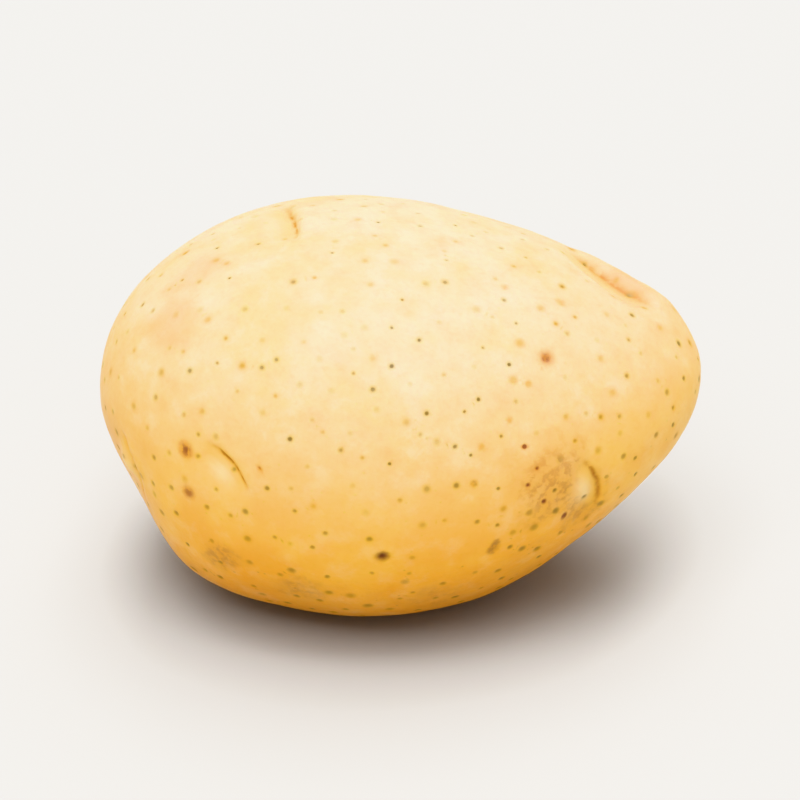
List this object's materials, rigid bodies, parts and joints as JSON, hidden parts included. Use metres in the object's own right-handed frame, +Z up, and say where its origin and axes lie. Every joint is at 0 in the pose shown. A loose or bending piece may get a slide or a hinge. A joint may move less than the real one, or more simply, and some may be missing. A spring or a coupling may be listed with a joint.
{
  "type": "potato",
  "caption": "Whole smooth-skinned yellow potato with shallow eyes, lying on a small flat spot.",
  "frame": {"origin": "centre of the underside of the potato's box, on the plane that it rests on", "axes": "+X along the long axis towards the slimmer stem end, +Y across it, +Z up from the resting spot"},
  "size_m": [0.11, 0.083, 0.071],
  "materials": {
    "potato_skin": "satin thin potato skin, pale cream yellow with golden patches and small brown pores"
  },
  "bodies": {
    "root": {"potato": "potato_skin"}
  },
  "joints": []
}
